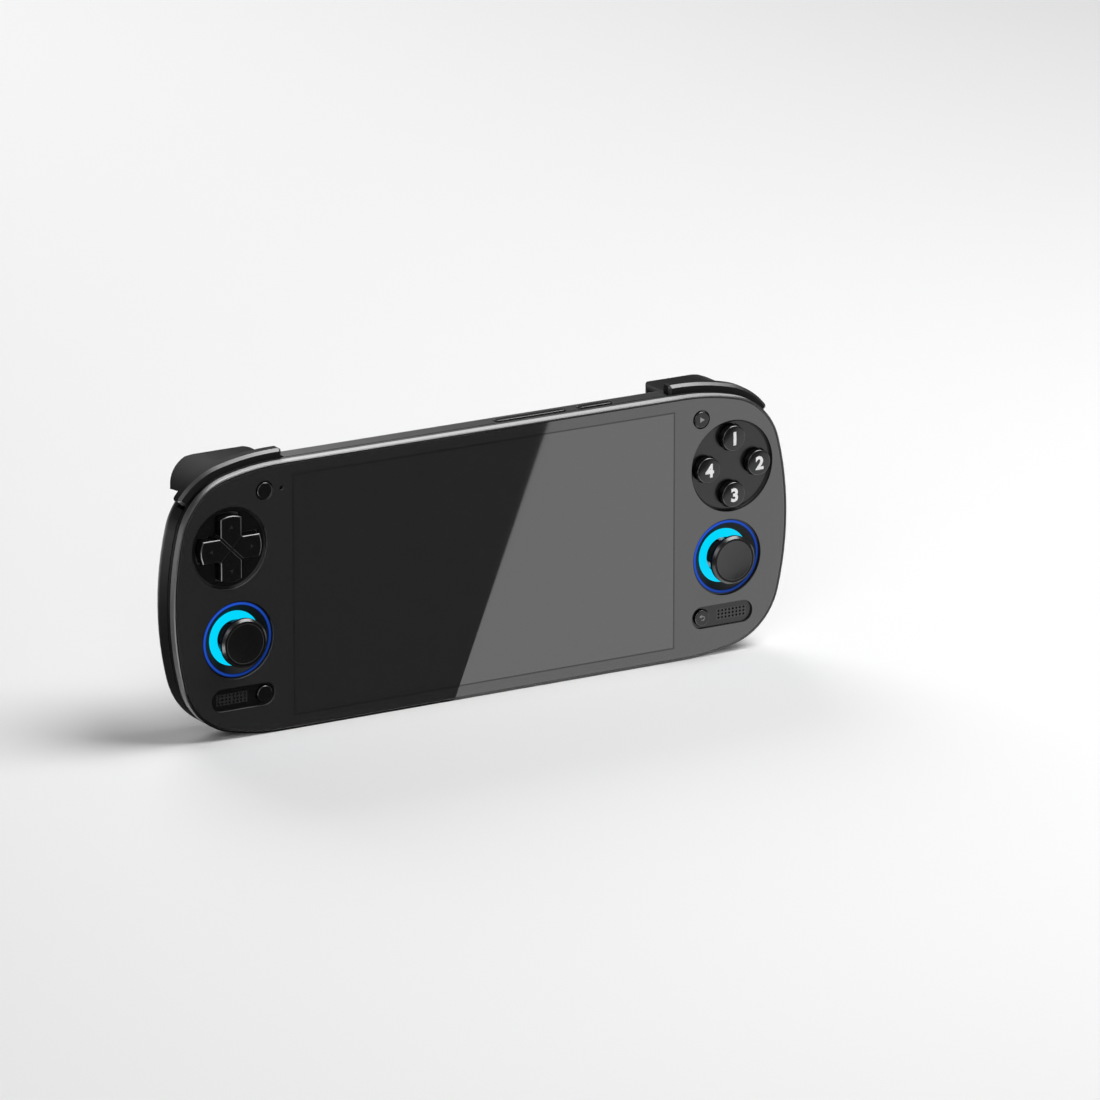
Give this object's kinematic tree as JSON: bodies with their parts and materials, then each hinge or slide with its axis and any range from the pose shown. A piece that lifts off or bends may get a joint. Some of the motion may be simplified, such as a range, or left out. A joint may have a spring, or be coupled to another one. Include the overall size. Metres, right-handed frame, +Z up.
{
  "type": "handheld game console",
  "caption": "Handheld game console standing on its long edge: wide display, sticks in lit wells, direction pad, face buttons, shoulder keys and triggers.",
  "frame": {"origin": "on the flat lower long edge that the console stands on, at mid length and mid thickness of the body", "axes": "+Z up, square to the lower edge; +Y from the display to the back; +X to the player's right along the long side"},
  "size_m": [0.2506, 0.035, 0.1014],
  "materials": {
    "cover_glass": "dark tinted glass, glossy",
    "display": "black display, off",
    "frame_metal": "anodised dark grey, satin",
    "shell_plastic": "fine-textured black",
    "dish_plastic": "black, satin",
    "key_plastic": "black, satin",
    "shoulder_plastic": "black, semi-gloss",
    "stick_rubber": "black, soft",
    "blue_light": "lit blue diffuser",
    "cyan_light": "lit cyan diffuser",
    "silicone": "grey silicone",
    "board": "green solder mask",
    "steel": "plain steel",
    "inner_plastic": "black moulded",
    "battery_foil": "foil pouch",
    "sink_metal": "bare fins",
    "copper": "copper pipe"
  },
  "bodies": {
    "root": {"front_glass": "cover_glass", "display_panel": "display", "mid_frame": "frame_metal", "rear_shell": "shell_plastic", "dpad_dish": "dish_plastic", "dpad_membrane": "silicone", "face_dish": "dish_plastic", "face_membrane": "silicone", "stick_wells": "dish_plastic", "light_rings": "blue_light", "glow_discs": "cyan_light", "speakers": "inner_plastic", "vibration_motors": "steel", "shell_screws": "steel", "shoulder_pins": "steel", "key_board": "board", "main_board": "board", "battery": "battery_foil", "lower_board": "board", "usb_c_port": "steel", "audio_jack": "inner_plastic", "card_socket": "steel", "fan_housing": "inner_plastic", "heat_sink": "sink_metal", "heat_pipe": "copper", "left_control_board": "board", "left_stick_base": "inner_plastic", "left_pill_plate": "dish_plastic", "left_shoulder_bracket": "inner_plastic", "right_control_board": "board", "right_stick_base": "inner_plastic", "right_pill_plate": "dish_plastic", "right_shoulder_bracket": "inner_plastic"},
    "left_stick_yoke": {"left_stick_yoke": "steel"},
    "left_stick_rocker": {"left_stick_rocker": "inner_plastic"},
    "left_stick": {"left_stick_shaft": "inner_plastic", "left_stick_cap": "stick_rubber"},
    "right_stick_yoke": {"right_stick_yoke": "steel"},
    "right_stick_rocker": {"right_stick_rocker": "inner_plastic"},
    "right_stick": {"right_stick_shaft": "inner_plastic", "right_stick_cap": "stick_rubber"},
    "dpad_pivot": {"dpad_pivot_ball": "steel"},
    "dpad": {"dpad_cross": "key_plastic"},
    "face_button_top": {"face_button_top": "key_plastic"},
    "face_button_right": {"face_button_right": "key_plastic"},
    "face_button_bottom": {"face_button_bottom": "key_plastic"},
    "face_button_left": {"face_button_left": "key_plastic"},
    "left_menu_button": {"left_menu_button": "key_plastic"},
    "left_pill_button": {"left_pill_button": "key_plastic"},
    "right_menu_button": {"right_menu_button": "key_plastic"},
    "right_pill_button": {"right_pill_button": "key_plastic"},
    "volume_rocker": {"volume_rocker": "key_plastic"},
    "power_button": {"power_button": "key_plastic"},
    "left_bumper": {"left_bumper": "shoulder_plastic"},
    "left_trigger": {"left_trigger": "shoulder_plastic", "left_trigger_spring": "steel"},
    "right_bumper": {"right_bumper": "shoulder_plastic"},
    "right_trigger": {"right_trigger": "shoulder_plastic", "right_trigger_spring": "steel"},
    "fan_rotor": {"fan_rotor": "inner_plastic"}
  },
  "joints": [
    {"name": "left_stick_up_down", "type": "hinge", "parent": "root", "child": "left_stick_yoke", "pos_m": [-0.10005, 0.0005, 0.03605], "axis": [1, 0, 0], "range_deg": [-12.5, 12.5], "stiffness_Nm_per_rad": 0.06},
    {"name": "left_stick_sideways", "type": "hinge", "parent": "left_stick_yoke", "child": "left_stick_rocker", "pos_m": [-0.10005, 0.0005, 0.03605], "axis": [0, 0, 1], "range_deg": [-12.5, 12.5], "stiffness_Nm_per_rad": 0.06},
    {"name": "left_stick_click", "type": "slide", "parent": "left_stick_rocker", "child": "left_stick", "axis": [0, 1, 0], "range_m": [0, 0.0004], "stiffness_N_per_m": 5000},
    {"name": "right_stick_up_down", "type": "hinge", "parent": "root", "child": "right_stick_yoke", "pos_m": [0.10005, 0.0005, 0.03605], "axis": [1, 0, 0], "range_deg": [-12.5, 12.5], "stiffness_Nm_per_rad": 0.06},
    {"name": "right_stick_sideways", "type": "hinge", "parent": "right_stick_yoke", "child": "right_stick_rocker", "pos_m": [0.10005, 0.0005, 0.03605], "axis": [0, 0, 1], "range_deg": [-12.5, 12.5], "stiffness_Nm_per_rad": 0.06},
    {"name": "right_stick_click", "type": "slide", "parent": "right_stick_rocker", "child": "right_stick", "axis": [0, 1, 0], "range_m": [0, 0.0004], "stiffness_N_per_m": 5000},
    {"name": "dpad_up_down", "type": "hinge", "parent": "root", "child": "dpad_pivot", "pos_m": [-0.10315, -0.0044, 0.06998], "axis": [1, 0, 0], "range_deg": [-5, 5], "stiffness_Nm_per_rad": 0.15},
    {"name": "dpad_left_right", "type": "hinge", "parent": "dpad_pivot", "child": "dpad", "pos_m": [-0.10315, -0.0044, 0.06998], "axis": [0, 0, 1], "range_deg": [-5, 5], "stiffness_Nm_per_rad": 0.15},
    {"name": "face_button_top_press", "type": "slide", "parent": "root", "child": "face_button_top", "axis": [0, 1, 0], "range_m": [0, 0.0012], "stiffness_N_per_m": 800},
    {"name": "face_button_right_press", "type": "slide", "parent": "root", "child": "face_button_right", "axis": [0, 1, 0], "range_m": [0, 0.0012], "stiffness_N_per_m": 800},
    {"name": "face_button_bottom_press", "type": "slide", "parent": "root", "child": "face_button_bottom", "axis": [0, 1, 0], "range_m": [0, 0.0012], "stiffness_N_per_m": 800},
    {"name": "face_button_left_press", "type": "slide", "parent": "root", "child": "face_button_left", "axis": [0, 1, 0], "range_m": [0, 0.0012], "stiffness_N_per_m": 800},
    {"name": "left_menu_button_press", "type": "slide", "parent": "root", "child": "left_menu_button", "axis": [0, 1, 0], "range_m": [0, 0.0004], "stiffness_N_per_m": 3500},
    {"name": "left_pill_button_press", "type": "slide", "parent": "root", "child": "left_pill_button", "axis": [0, 1, 0], "range_m": [0, 0.0004], "stiffness_N_per_m": 3500},
    {"name": "right_menu_button_press", "type": "slide", "parent": "root", "child": "right_menu_button", "axis": [0, 1, 0], "range_m": [0, 0.0004], "stiffness_N_per_m": 3500},
    {"name": "right_pill_button_press", "type": "slide", "parent": "root", "child": "right_pill_button", "axis": [0, 1, 0], "range_m": [0, 0.0004], "stiffness_N_per_m": 3500},
    {"name": "volume_rock", "type": "hinge", "parent": "root", "child": "volume_rocker", "pos_m": [0.0225, -0.0009, 0.09581], "axis": [0, 1, 0], "range_deg": [-1.5, 1.5], "stiffness_Nm_per_rad": 0.8},
    {"name": "power_press", "type": "slide", "parent": "root", "child": "power_button", "axis": [0, 0, -1], "range_m": [0, 0.00035], "stiffness_N_per_m": 4000},
    {"name": "left_bumper_press", "type": "hinge", "parent": "root", "child": "left_bumper", "pos_m": [-0.0823, -0.0014, 0.09078], "axis": [0, -1, 0], "range_deg": [0, 1.3], "stiffness_Nm_per_rad": 2},
    {"name": "left_trigger_pull", "type": "hinge", "parent": "root", "child": "left_trigger", "pos_m": [-0.092, 0.0041, 0.09251], "axis": [-1, 0, 0], "range_deg": [0, 11], "stiffness_Nm_per_rad": 0.07},
    {"name": "right_bumper_press", "type": "hinge", "parent": "root", "child": "right_bumper", "pos_m": [0.0823, -0.0014, 0.09078], "axis": [0, 1, 0], "range_deg": [0, 1.3], "stiffness_Nm_per_rad": 2},
    {"name": "right_trigger_pull", "type": "hinge", "parent": "root", "child": "right_trigger", "pos_m": [0.092, 0.0041, 0.09251], "axis": [-1, 0, 0], "range_deg": [0, 11], "stiffness_Nm_per_rad": 0.07},
    {"name": "fan_spin", "type": "hinge", "parent": "root", "child": "fan_rotor", "pos_m": [-0.033, -0.00105, 0.06508], "axis": [0, 1, 0], "continuous": true}
  ]
}
